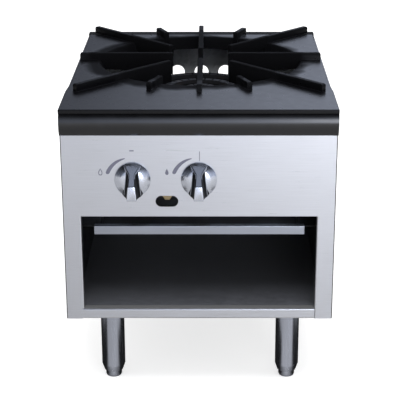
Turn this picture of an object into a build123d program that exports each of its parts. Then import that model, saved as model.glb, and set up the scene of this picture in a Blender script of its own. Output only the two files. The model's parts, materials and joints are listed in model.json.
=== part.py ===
from build123d import *
import os
from math import cos, radians, sin, sqrt

# Stock pot range: one three-ring gas burner in an open cabinet on four legs.
# Millimetres. X across the front, Y from front to back, Z up from the floor,
# with the origin on the floor in the middle of the range.

# ---------------------------------------------------------------- driving dimensions
WIDTH = 457.2  # cabinet, 18 in
DEPTH = 571.5  # front of the nose to the back panel, 22.5 in
LEG_HEIGHT = 152.4  # floor to the underside of the cabinet, 6 in
BODY_HEIGHT = 376.6  # underside of the cabinet to the top plate
SHEET = 1.2  # gauge of the cabinet's sheet steel
BEND = 2.4  # bend radius on the sheet's centre line
RETURN = 14.0  # width of the folded returns

NOSE_REACH = 8.5  # front edge of the nose ahead of the control panel
NOSE_DROP = 45.6  # height of the nose band, top plate included
OPENING_WIDTH = 395.0
OPENING_TOP = 188.7  # above the underside of the cabinet
SILL_HEIGHT = 18.9

BURNER_SETBACK = 337.2  # burner centre behind the front of the nose
BOWL_R = 185.0  # round opening in the top plate
BOWL_DROP = 22.0  # depth of the rim that hangs in the opening
FIN_RISE = 13.0  # fins above the plate
FIN_DEPTH = 41.0  # height of a fin at its inner end
FIN_THICKNESS = 9.0
PLATE_GAP = 0.3  # the lift-off top stands this far clear of its seats

BURNER_DROP = 55.0  # burner top below the top plate
RING_HEIGHT = 28.0
OUTER_RING = (95.0, 119.0)  # inner and outer radius
MIDDLE_RING = (54.0, 76.0)
INNER_RING = (16.0, 36.0)

KNOB_HEIGHT = 254.0  # knob axes above the underside of the cabinet
KNOB_R = 30.0
KNOB_REACH = 38.5  # knob face ahead of the control panel
OUTER_VALVE_X = -110.0  # left-hand control, for the outer ring
INNER_VALVE_X = 0.0  # right-hand control, for the two inner rings
LIGHTING_SLOT = (-53.5, 215.5, 38.0, 19.5)  # X, height above underside, length, width

MANIFOLD_Z = 370.0
MANIFOLD_Y = -225.0
PIPE_R = 13.335  # 3/4 in gas pipe, 26.67 mm outside
PIPE_BORE_R = 10.45
SUPPLY_X = 190.0
INLET_REACH = 30.0  # the supply pipe ends this far behind the cabinet
THREAD_R = 13.0  # turned down for the inlet's taper thread
THREAD_LENGTH = 20.0

TRAY_HALF_WIDTH = 170.0
TRAY_TOP = 160.2  # above the underside of the cabinet
TRAY_DEPTH = 15.6
TRAY_SETBACK = 30.0  # tray pull behind the control panel
PULL_HALF_WIDTH = 179.0

LEG_X = 157.0
LEG_INSET = 86.0  # leg axis behind the control panel, and ahead of the back
LEG_R = 21.0
FOOT_R = 14.5
FOOT_REVEAL = 13.0  # part of the foot that shows under the leg

VENT_R = 14.5
VENT_PITCH = 49.0
VENT_HEIGHT = 292.0  # above the underside of the cabinet

# ---------------------------------------------------------------- derived places
NOSE_Y = -DEPTH / 2
PANEL_Y = NOSE_Y + NOSE_REACH
BACK_Y = DEPTH / 2
DECK_Z = LEG_HEIGHT + BODY_HEIGHT
SEAT_Z = DECK_Z - 7.0  # flanges that carry the top plate
FIN_TOP = DECK_Z + FIN_RISE
BURNER_Y = NOSE_Y + BURNER_SETBACK
BURNER_TOP = DECK_Z - BURNER_DROP
BURNER_SEAT = BURNER_TOP - RING_HEIGHT
KNOB_Z = LEG_HEIGHT + KNOB_HEIGHT
FLOOR_TOP = LEG_HEIGHT + SILL_HEIGHT - 1.6
FACE_WIDTH = WIDTH - 2 * SHEET  # front and back sheets fit between the side skins
LINER_X = 211.4
TRAY_BOTTOM = LEG_HEIGHT + TRAY_TOP - TRAY_DEPTH
SIDES = (("left", -1), ("right", 1))
CORNERS = (
    ("front_left", -LEG_X, PANEL_Y + LEG_INSET),
    ("front_right", LEG_X, PANEL_Y + LEG_INSET),
    ("rear_left", -LEG_X, BACK_Y - LEG_INSET),
    ("rear_right", LEG_X, BACK_Y - LEG_INSET),
)
VALVES = (("outer", OUTER_VALVE_X), ("inner", INNER_VALVE_X))

os.makedirs("parts", exist_ok=True)


def facing_front(y, x=0.0, z=0.0):
    """A plane that faces the cook: sketch x is X and sketch y is Z."""
    return Plane(origin=(x, y, z), x_dir=(1, 0, 0), z_dir=(0, -1, 0))


def sheet(*corners, gauge=SHEET, bend=BEND):
    """Adds the section of a folded sheet to the open sketch, along its centre line."""
    with BuildLine() as centre_line:
        FilletPolyline(*corners, radius=bend)
    trace(centre_line.line, line_width=gauge)


def save(part, name):
    """Labels a finished piece and writes it."""
    part.label = name
    export_step(part, f"parts/{name}.step")


# ---------------------------------------------------------------- cabinet
for side, sx in SIDES:
    skin_x = sx * (WIDTH - SHEET) / 2
    return_x = skin_x - sx * RETURN
    front = PANEL_Y + 1.5 * SHEET
    back = BACK_Y - 1.5 * SHEET
    flange_width = 20.0
    flange_front = PANEL_Y + 16.0
    flange_back = BACK_Y - 45.0
    with BuildPart() as side_panel:
        with BuildSketch(Plane.XY.offset(LEG_HEIGHT)):
            sheet((return_x, front), (skin_x, front), (skin_x, back), (return_x, back))
        extrude(amount=SEAT_Z - LEG_HEIGHT)
        # the top flange that carries the grate
        with BuildSketch(Plane.XY.offset(SEAT_Z - SHEET)):
            with Locations((skin_x - sx * flange_width / 2, (flange_front + flange_back) / 2)):
                Rectangle(flange_width, flange_back - flange_front)
        extrude(amount=SHEET)
    save(side_panel.part, f"{side}_side_panel")

with BuildPart() as back_panel:
    with BuildSketch(Plane.YZ.offset(-FACE_WIDTH / 2)):
        skin_y = BACK_Y - SHEET / 2
        step_y = BACK_Y - 24.4
        sheet(
            (skin_y, LEG_HEIGHT),
            (skin_y, DECK_Z - SHEET / 2),
            (step_y, DECK_Z - SHEET / 2),
            (step_y, SEAT_Z - SHEET / 2),
            (step_y - 14, SEAT_Z - SHEET / 2),
            bend=1.8,
        )
    extrude(amount=FACE_WIDTH)
    with BuildSketch(facing_front(BACK_Y)):
        with Locations((0, LEG_HEIGHT + VENT_HEIGHT)):
            with GridLocations(VENT_PITCH, 0, 3, 1):
                Circle(VENT_R)
        with Locations((SUPPLY_X, MANIFOLD_Z)):
            Circle(PIPE_R + 2.5)
    extrude(amount=SHEET, mode=Mode.SUBTRACT)
save(back_panel.part, "back_panel")

with BuildPart() as cabinet_floor:
    floor_front = PANEL_Y + 16.0
    floor_back = BACK_Y - 4.0
    flange_x = WIDTH / 2 - 2.6
    with BuildSketch(facing_front(floor_back)):
        sheet(
            (-flange_x, LEG_HEIGHT + 1),
            (-flange_x, FLOOR_TOP - SHEET / 2),
            (flange_x, FLOOR_TOP - SHEET / 2),
            (flange_x, LEG_HEIGHT + 1),
        )
    extrude(amount=floor_back - floor_front)
save(cabinet_floor.part, "cabinet_floor")

BASE_GAUGE = 2.0
for side, sx in SIDES:
    half = 44.0
    base_back = BACK_Y - 6.0
    with BuildPart() as base_channel:
        with BuildSketch(facing_front(base_back)):
            sheet(
                (sx * LEG_X - half, FLOOR_TOP - SHEET),
                (sx * LEG_X - half, LEG_HEIGHT + BASE_GAUGE / 2),
                (sx * LEG_X + half, LEG_HEIGHT + BASE_GAUGE / 2),
                (sx * LEG_X + half, FLOOR_TOP - SHEET),
                gauge=BASE_GAUGE,
                bend=3.0,
            )
        extrude(amount=base_back - PANEL_Y - 18.0)
    save(base_channel.part, f"{side}_base_channel")

LINER_GAUGE = 0.8
for side, sx in SIDES:
    with BuildPart() as liner:
        with BuildSketch(Plane.XY.offset(FLOOR_TOP)):
            sheet(
                (sx * (LINER_X + 13), PANEL_Y + 18.0),
                (sx * LINER_X, PANEL_Y + 18.0),
                (sx * LINER_X, BACK_Y - 6.0),
                (sx * (LINER_X + 13), BACK_Y - 6.0),
                gauge=LINER_GAUGE,
            )
        extrude(amount=SEAT_Z - 17.0 - FLOOR_TOP)
    save(liner.part, f"{side}_liner")

# ---------------------------------------------------------------- front
HEM = 12.0
with BuildPart() as control_panel:
    hem_z = LEG_HEIGHT + OPENING_TOP + SHEET / 2
    with BuildSketch(Plane.YZ.offset(-FACE_WIDTH / 2)):
        with BuildLine():
            Line((PANEL_Y + SHEET / 2, hem_z - SHEET / 2), (PANEL_Y + SHEET / 2, SEAT_Z - 5))
        trace(line_width=SHEET)
    extrude(amount=FACE_WIDTH)
    # the hem over the cabinet opening
    with BuildSketch(Plane.YZ.offset(-OPENING_WIDTH / 2)):
        sheet((PANEL_Y + SHEET / 2, hem_z + 8), (PANEL_Y + SHEET / 2, hem_z), (PANEL_Y + HEM, hem_z))
    extrude(amount=OPENING_WIDTH)
    slot_x, slot_height, slot_length, slot_width = LIGHTING_SLOT
    slot_place = (slot_x, LEG_HEIGHT + slot_height)
    surround_length, surround_width = slot_length + 23.0, slot_width + 16.5
    with BuildSketch(facing_front(PANEL_Y)):
        with Locations((OUTER_VALVE_X, KNOB_Z), (INNER_VALVE_X, KNOB_Z)):
            Circle(7.0)
        with Locations(slot_place):
            Rectangle(surround_length, surround_width)
    extrude(amount=-SHEET, mode=Mode.SUBTRACT)
save(control_panel.part, "control_panel")

with BuildPart() as slot_surround:
    # the panel's own sheet around the lighting slot, flush with the rest of it
    with BuildSketch(facing_front(PANEL_Y)):
        with Locations(slot_place):
            Rectangle(surround_length, surround_width)
            SlotOverall(slot_length, slot_width, mode=Mode.SUBTRACT)
    extrude(amount=-SHEET)
save(slot_surround.part, "slot_surround")

SILL_RUN = 3.5  # the sill reaches this far past the opening on the left
for side, sx in SIDES:
    inner_x = sx * (OPENING_WIDTH + SHEET) / 2
    with BuildPart() as stile:
        with BuildSketch(Plane.XY.offset(LEG_HEIGHT)):
            sheet(
                (sx * FACE_WIDTH / 2, PANEL_Y + SHEET / 2),
                (inner_x, PANEL_Y + SHEET / 2),
                (inner_x, PANEL_Y + RETURN),
                bend=1.8,
            )
        extrude(amount=OPENING_TOP)
        if side == "left":
            # the sill runs through here, so the stile's return starts above it
            with BuildSketch(Plane.XY.offset(LEG_HEIGHT)):
                with Locations((-OPENING_WIDTH / 2, PANEL_Y + RETURN / 2)):
                    Rectangle(2 * SILL_RUN, 2 * RETURN)
            extrude(amount=SILL_HEIGHT, mode=Mode.SUBTRACT)
    save(stile.part, f"{side}_stile")

with BuildPart() as bottom_rail:
    with BuildSketch(Plane.YZ.offset(-OPENING_WIDTH / 2 - SILL_RUN)):
        top_z = LEG_HEIGHT + SILL_HEIGHT - SHEET / 2
        low_z = LEG_HEIGHT + SHEET / 2
        sheet(
            (PANEL_Y + RETURN, top_z),
            (PANEL_Y + SHEET / 2, top_z),
            (PANEL_Y + SHEET / 2, low_z),
            (PANEL_Y + RETURN, low_z),
        )
    extrude(amount=OPENING_WIDTH + SILL_RUN)
save(bottom_rail.part, "bottom_rail")

NOSE_GAUGE = 1.5
NOSE_BULGE = 5.4
nose_top = SEAT_Z - NOSE_GAUGE / 2
nose_bottom = DECK_Z - NOSE_DROP + NOSE_GAUGE / 2
nose_front = NOSE_Y + NOSE_BULGE + NOSE_GAUGE / 2  # its upper edge, tucked under the plate
with BuildPart() as nose_rail:
    with BuildSketch(Plane.YZ.offset(-WIDTH / 2)):
        with BuildLine():
            Line((PANEL_Y, nose_top), (nose_front, nose_top))
            ThreePointArc(
                (nose_front, nose_top),
                (nose_front - NOSE_BULGE, (nose_top + nose_bottom) / 2),
                (nose_front, nose_bottom),
            )
            Line((nose_front, nose_bottom), (PANEL_Y, nose_bottom))
        trace(line_width=NOSE_GAUGE)
    extrude(amount=WIDTH)
    # closed ends
    for end_x in (-WIDTH / 2, WIDTH / 2 - NOSE_GAUGE):
        with BuildSketch(Plane.YZ.offset(end_x)):
            with BuildLine():
                Line((PANEL_Y, nose_bottom), (PANEL_Y, nose_top))
                Line((PANEL_Y, nose_top), (nose_front, nose_top))
                ThreePointArc(
                    (nose_front, nose_top),
                    (nose_front - NOSE_BULGE, (nose_top + nose_bottom) / 2),
                    (nose_front, nose_bottom),
                )
                Line((nose_front, nose_bottom), (PANEL_Y, nose_bottom))
            make_face()
        extrude(amount=NOSE_GAUGE)
    # the lip behind the panel that carries the front of the grate
    lip_back = PANEL_Y + 15.0
    with BuildSketch(Plane.XY.offset(SEAT_Z - NOSE_GAUGE)):
        with Locations((0, (PANEL_Y + lip_back) / 2)):
            Rectangle(2 * 207.0, lip_back - PANEL_Y)
    extrude(amount=NOSE_GAUGE)
save(nose_rail.part, "nose_rail")


# ---------------------------------------------------------------- cast top grate
PLATE_BACK = BURNER_Y + 208.0
PLATE_BOTTOM = SEAT_Z + PLATE_GAP
WAIST = 3.6  # the plate narrows this much a side behind the front ledge
LEDGE_DEPTH = 115.0
WAIST_END = 168.0


def fin(angle, r_in, r_out, r_plate=None, r_foot=BOWL_R + 3):
    """One radial fin: over the plate it stands on it, in the bowl it deepens inwards.
    A fin that reaches past the plate's edge, at r_plate, clears the flange behind it."""
    plane = Plane(
        origin=(0, BURNER_Y, 0),
        x_dir=(cos(radians(angle)), sin(radians(angle)), 0),
        z_dir=(sin(radians(angle)), -cos(radians(angle)), 0),
    )
    foot = DECK_Z - 1
    outline = [(r_in, FIN_TOP), (r_out - 2, FIN_TOP), (r_out, FIN_TOP - 3)]
    if r_plate and r_plate < r_out:
        outline += [(r_out, DECK_Z + 0.6), (r_plate, DECK_Z + 0.6), (r_plate - 1.5, foot)]
    else:
        outline += [(r_out, foot)]
    outline += [(r_foot, foot)]
    if r_in < BOWL_R - 10:
        outline += [(BOWL_R - 5, DECK_Z - 17), (r_in, FIN_TOP - FIN_DEPTH)]
    else:
        outline += [(BOWL_R - 2, DECK_Z - 8), (r_in, DECK_Z - 8)]
    with BuildSketch(plane) as profile:
        with BuildLine():
            Polyline(*outline, close=True)
        make_face()
    extrude(profile.sketch, amount=FIN_THICKNESS / 2, both=True)


def plate_reach(angle):
    """How far along a rear fin both of its sides are still over the plate."""
    return (PLATE_BACK - BURNER_Y - FIN_THICKNESS / 2 * cos(radians(angle))) / sin(radians(angle))


with BuildPart() as top_grate:
    with BuildSketch(Plane.XY.offset(PLATE_BOTTOM)):
        wide = WIDTH / 2
        narrow = wide - WAIST
        with BuildLine():
            Polyline(
                (-wide, NOSE_Y),
                (wide, NOSE_Y),
                (wide, NOSE_Y + LEDGE_DEPTH),
                (narrow, NOSE_Y + WAIST_END),
                (narrow, PLATE_BACK),
                (-narrow, PLATE_BACK),
                (-narrow, NOSE_Y + WAIST_END),
                (-wide, NOSE_Y + LEDGE_DEPTH),
                close=True,
            )
        make_face()
        fillet(vertices().group_by(Axis.Y)[1:3], radius=60)
        fillet(vertices().group_by(Axis.Y)[0], radius=2)
        with Locations((0, BURNER_Y)):
            Circle(BOWL_R + 4, mode=Mode.SUBTRACT)
    extrude(amount=DECK_Z - PLATE_BOTTOM)
    fillet(top_grate.faces().sort_by(Axis.Z)[-1].outer_wire().edges(), radius=1.8)
    # the locating rib under the plate drops inside the cabinet's flanges
    rib_front = PANEL_Y + 23.0
    rib_back = BACK_Y - 46.0
    with BuildSketch(Plane.XY.offset(PLATE_BOTTOM)):
        with Locations((0, (rib_front + rib_back) / 2)):
            Rectangle(2 * 203.0, rib_back - rib_front)
            Rectangle(2 * 198.0, rib_back - rib_front - 10, mode=Mode.SUBTRACT)
    extrude(amount=-8)
    # the rim of the bowl rolls over and hangs down as a sloped skirt
    with BuildSketch(facing_front(BURNER_Y)):
        with BuildLine():
            Polyline(
                (BOWL_R + 9, PLATE_BOTTOM),
                (BOWL_R - 3, DECK_Z - BOWL_DROP),
                (BOWL_R - 8, DECK_Z - BOWL_DROP),
                (BOWL_R, DECK_Z - 3),
            )
            RadiusArc((BOWL_R, DECK_Z - 3), (BOWL_R + 4, DECK_Z), 4)
            Polyline((BOWL_R + 4, DECK_Z), (BOWL_R + 9, DECK_Z), (BOWL_R + 9, PLATE_BOTTOM))
        make_face()
    revolve(axis=Axis((0, BURNER_Y, 0), (0, 0, 1)))
    # twelve fins: across, front to back, to the four corners, and four short ones
    for angle in (0, 180):
        fin(angle, 51.5, 224.0)
    fin(90, 36.0, 234.0, plate_reach(90))
    fin(270, 39.5, 230.0)
    for slant, r_in, r_out in ((46.8, 81.0, 309.5), (68.0, 181.0, 231.0)):
        for angle in (slant, 180 - slant):
            fin(angle, r_in, r_out, plate_reach(slant))
            fin(-angle, r_in, r_out)
    chamfer(top_grate.edges().filter_by_position(Axis.Z, FIN_TOP - 0.01, FIN_TOP + 0.01), 1.0)
save(top_grate.part, "top_grate")

# ---------------------------------------------------------------- burner
RAIL_GAUGE = 2.0
RAIL_REACH = 107.0
for place, sy in (("front", -1), ("rear", 1)):
    web_y = BURNER_Y + sy * RAIL_REACH
    rail_half = LINER_X - LINER_GAUGE / 2
    with BuildPart() as burner_rail:
        with BuildSketch(Plane.YZ.offset(-rail_half)):
            sheet(
                (web_y, BURNER_SEAT - 19.5),
                (web_y, BURNER_SEAT - RAIL_GAUGE / 2),
                (web_y - sy * 25, BURNER_SEAT - RAIL_GAUGE / 2),
                gauge=RAIL_GAUGE,
                bend=3.0,
            )
        extrude(amount=2 * rail_half)
    save(burner_rail.part, f"{place}_burner_rail")


def ring(radii, ports):
    """A cast burner ring with bevelled shoulders and radial slotted ports in its top."""
    r_in, r_out = radii
    bevel = 5.0
    with BuildSketch(facing_front(BURNER_Y)) as section:
        with BuildLine():
            Polyline(
                (r_in, BURNER_SEAT),
                (r_out, BURNER_SEAT),
                (r_out, BURNER_TOP - bevel),
                (r_out - bevel, BURNER_TOP),
                (r_in + bevel, BURNER_TOP),
                (r_in, BURNER_TOP - bevel),
                close=True,
            )
        make_face()
    revolve(section.sketch, axis=Axis((0, BURNER_Y, 0), (0, 0, 1)))
    port_length = r_out - r_in - 2 * bevel - 1.5
    with BuildSketch(Plane.XY.offset(BURNER_TOP)) as slots:
        with Locations((0, BURNER_Y)):
            with PolarLocations((r_in + r_out) / 2, ports):
                Rectangle(port_length, 2.6)
    extrude(slots.sketch, amount=-7, mode=Mode.SUBTRACT)


MOUTH_Y = -172.0
MOUTH_R = 25.0
BOSS_R = 11.0  # boss that the air shutter turns on
WINDOW_R = 4.6
WINDOW_CIRCLE = 17.8
TUBE_R = 17.0
MOUTH_PLATE = 3.0


def mixing_tube(x):
    """A cast mixing tube: bell mouth with air windows, throat, then a riser up to the ring."""
    tube_plane = Plane(origin=(x, 0, KNOB_Z), x_dir=(0, 1, 0), z_dir=(1, 0, 0))
    tube_axis = Axis((x, 0, KNOB_Z), (0, 1, 0))
    with BuildSketch(tube_plane) as outside:
        with BuildLine():
            Polyline(
                (MOUTH_Y, 0),
                (MOUTH_Y, MOUTH_R),
                (MOUTH_Y + 26, MOUTH_R - 2),
                (MOUTH_Y + 48, TUBE_R - 2),
                (BURNER_Y, TUBE_R),
                (BURNER_Y, 0),
                close=True,
            )
        make_face()
    revolve(outside.sketch, axis=tube_axis)
    # upright riser with a bevelled bottom
    riser_r = TUBE_R + 1.5
    riser_foot = KNOB_Z - riser_r
    with BuildSketch(facing_front(BURNER_Y, x)) as riser:
        with BuildLine():
            Polyline(
                (0, riser_foot),
                (riser_r - 6, riser_foot),
                (riser_r, riser_foot + 6),
                (riser_r, BURNER_SEAT + 1),
                (0, BURNER_SEAT + 1),
                close=True,
            )
        make_face()
    revolve(riser.sketch, axis=Axis((x, BURNER_Y, 0), (0, 0, 1)))
    # hollow bell behind the mouth plate
    with BuildSketch(tube_plane) as inside:
        with BuildLine():
            Polyline(
                (MOUTH_Y + MOUTH_PLATE, 0),
                (MOUTH_Y + MOUTH_PLATE, MOUTH_R - 2.5),
                (MOUTH_Y + 26, MOUTH_R - 5),
                (MOUTH_Y + 48, TUBE_R - 6),
                (MOUTH_Y + 80, TUBE_R - 5),
                (MOUTH_Y + 80, 0),
                close=True,
            )
        make_face()
    revolve(inside.sketch, axis=tube_axis, mode=Mode.SUBTRACT)
    # boss for the shutter, hole for the orifice, and four air windows
    with BuildSketch(facing_front(MOUTH_Y, x, KNOB_Z)) as boss:
        Circle(BOSS_R)
    extrude(boss.sketch, amount=4)
    with BuildSketch(facing_front(MOUTH_Y, x, KNOB_Z)) as orifice_hole:
        Circle(BOSS_R - 2.5)
    extrude(orifice_hole.sketch, amount=4, both=True, mode=Mode.SUBTRACT)
    with BuildSketch(facing_front(MOUTH_Y, x, KNOB_Z)) as windows:
        with PolarLocations(WINDOW_CIRCLE, 4):
            Circle(WINDOW_R)
    extrude(windows.sketch, amount=-MOUTH_PLATE - 0.5, mode=Mode.SUBTRACT)


with BuildPart() as outer_ring_burner:
    ring(OUTER_RING, 40)
    mixing_tube(OUTER_VALVE_X)
save(outer_ring_burner.part, "outer_ring_burner")

with BuildPart() as inner_ring_burner:
    ring(MIDDLE_RING, 26)
    ring(INNER_RING, 12)
    # four hollow spokes join the two rings, and two arms reach the rails
    spoke_length = MIDDLE_RING[0] - INNER_RING[0]
    spoke_r = (MIDDLE_RING[0] + INNER_RING[0]) / 2
    with BuildSketch(Plane.XY.offset(BURNER_SEAT)):
        with Locations((0, BURNER_Y)):
            with PolarLocations(spoke_r, 4, start_angle=45):
                Rectangle(spoke_length, 14)
    extrude(amount=18)
    arm_end = 92.0
    with BuildSketch(Plane.XY.offset(BURNER_SEAT)):
        with Locations((0, BURNER_Y)):
            with PolarLocations((MIDDLE_RING[0] + arm_end) / 2 + 4, 2, start_angle=90):
                Rectangle(arm_end - MIDDLE_RING[0] - 8, 22)
    extrude(amount=6)
    with BuildSketch(Plane.XY.offset(BURNER_SEAT)):
        with Locations((0, BURNER_Y)):
            Circle(INNER_RING[0] + 1)
    extrude(amount=RING_HEIGHT - 7)
    mixing_tube(INNER_VALVE_X)
save(inner_ring_burner.part, "inner_ring_burner")

for name, x in VALVES:
    with BuildPart() as air_shutter:
        with BuildSketch(facing_front(MOUTH_Y - 0.3, x, KNOB_Z)):
            Circle(MOUTH_R)
            Circle(BOSS_R + 0.08, mode=Mode.SUBTRACT)
            with PolarLocations(WINDOW_CIRCLE, 4):
                Circle(WINDOW_R, mode=Mode.SUBTRACT)
        extrude(amount=1.5)
        # finger tab on the rim
        with BuildSketch(facing_front(MOUTH_Y - 0.3, x, KNOB_Z)):
            with Locations((0, -MOUTH_R - 1)):
                Rectangle(8, 6)
        extrude(amount=6)
    save(air_shutter.part, f"{name}_air_shutter")

# ---------------------------------------------------------------- gas train
SPUD_TOP = MANIFOLD_Z + 18.0
with BuildPart() as gas_manifold:
    manifold_left = -150.0
    manifold_right = SUPPLY_X - 25.0
    with BuildSketch(Plane(origin=(manifold_left, MANIFOLD_Y, MANIFOLD_Z), z_dir=(1, 0, 0))):
        Circle(PIPE_R)
    extrude(amount=manifold_right - manifold_left)
    with BuildSketch(Plane.XY.offset(MANIFOLD_Z)):
        with Locations((OUTER_VALVE_X, MANIFOLD_Y), (INNER_VALVE_X, MANIFOLD_Y)):
            Circle(11)
    extrude(amount=SPUD_TOP - MANIFOLD_Z)
    with BuildSketch(facing_front(MANIFOLD_Y, LIGHTING_SLOT[0], MANIFOLD_Z)):
        Circle(8)
    extrude(amount=19)
    with BuildSketch(Plane(origin=(manifold_left, MANIFOLD_Y, MANIFOLD_Z), z_dir=(1, 0, 0))):
        Circle(PIPE_BORE_R)
    extrude(amount=manifold_right - manifold_left, mode=Mode.SUBTRACT)
save(gas_manifold.part, "gas_manifold")

with BuildPart() as manifold_cap:
    with BuildSketch(Plane(origin=(manifold_left, MANIFOLD_Y, MANIFOLD_Z), z_dir=(-1, 0, 0))):
        Circle(PIPE_R + 4)
    extrude(amount=11)
    with BuildSketch(Plane(origin=(manifold_left - 11, MANIFOLD_Y, MANIFOLD_Z), z_dir=(-1, 0, 0))):
        Rectangle(14, 14)
    extrude(amount=8)
    chamfer(manifold_cap.edges().filter_by(GeomType.CIRCLE), 1.0)
save(manifold_cap.part, "manifold_cap")

with BuildPart() as supply_elbow:
    band = PIPE_R + 5.5
    elbow_r = PIPE_R + 4
    mitre = 13.0
    with BuildLine():
        Polyline(
            (manifold_right, MANIFOLD_Y, MANIFOLD_Z),
            (SUPPLY_X - mitre, MANIFOLD_Y, MANIFOLD_Z),
            (SUPPLY_X, MANIFOLD_Y + mitre, MANIFOLD_Z),
            (SUPPLY_X, MANIFOLD_Y + 25, MANIFOLD_Z),
        )
    with BuildSketch(Plane(origin=(manifold_right, MANIFOLD_Y, MANIFOLD_Z), z_dir=(1, 0, 0))):
        Circle(elbow_r)
    sweep(transition=Transition.RIGHT)
    with BuildSketch(Plane(origin=(manifold_right, MANIFOLD_Y, MANIFOLD_Z), z_dir=(1, 0, 0))):
        Circle(band)
    extrude(amount=6)
    with BuildSketch(Plane(origin=(SUPPLY_X, MANIFOLD_Y + 25, MANIFOLD_Z), z_dir=(0, -1, 0))):
        Circle(band)
    extrude(amount=6)
save(supply_elbow.part, "supply_elbow")

with BuildPart() as supply_pipe:
    pipe_start = MANIFOLD_Y + 25
    pipe_end = BACK_Y + INLET_REACH
    with BuildSketch(facing_front(pipe_end, SUPPLY_X, MANIFOLD_Z)):
        Circle(PIPE_R)
        Circle(PIPE_BORE_R, mode=Mode.SUBTRACT)
    extrude(amount=pipe_end - pipe_start)
    # turned stretch of the inlet thread, with a bevelled lead-in
    with BuildSketch(facing_front(pipe_end, SUPPLY_X, MANIFOLD_Z)):
        Circle(PIPE_R + 1)
        Circle(THREAD_R, mode=Mode.SUBTRACT)
    extrude(amount=THREAD_LENGTH, mode=Mode.SUBTRACT)
    end_rings = supply_pipe.faces().sort_by(Axis.Y)[-1].edges()
    chamfer(end_rings.sort_by(SortBy.RADIUS)[-1], 1.0)
save(supply_pipe.part, "supply_pipe")

BRACKET_GAUGE = 2.0
for side, bracket_x in (("left", -134.0), ("right", 120.0)):
    foot_y = PANEL_Y + SHEET + BRACKET_GAUGE / 2
    with BuildPart() as manifold_bracket:
        with BuildSketch(Plane.XY.offset(MANIFOLD_Z - 20)):
            sheet(
                (bracket_x + 16, foot_y),
                (bracket_x, foot_y),
                (bracket_x, MANIFOLD_Y + 20),
                gauge=BRACKET_GAUGE,
            )
        extrude(amount=40)
        with BuildSketch(Plane(origin=(bracket_x - 2, MANIFOLD_Y, MANIFOLD_Z), z_dir=(1, 0, 0))):
            Circle(PIPE_R + 0.1)
        extrude(amount=4, mode=Mode.SUBTRACT)
    save(manifold_bracket.part, f"{side}_manifold_bracket")

VALVE_FRONT = -268.0
VALVE_BACK = -200.0
STEM_R = 4.0
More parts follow.
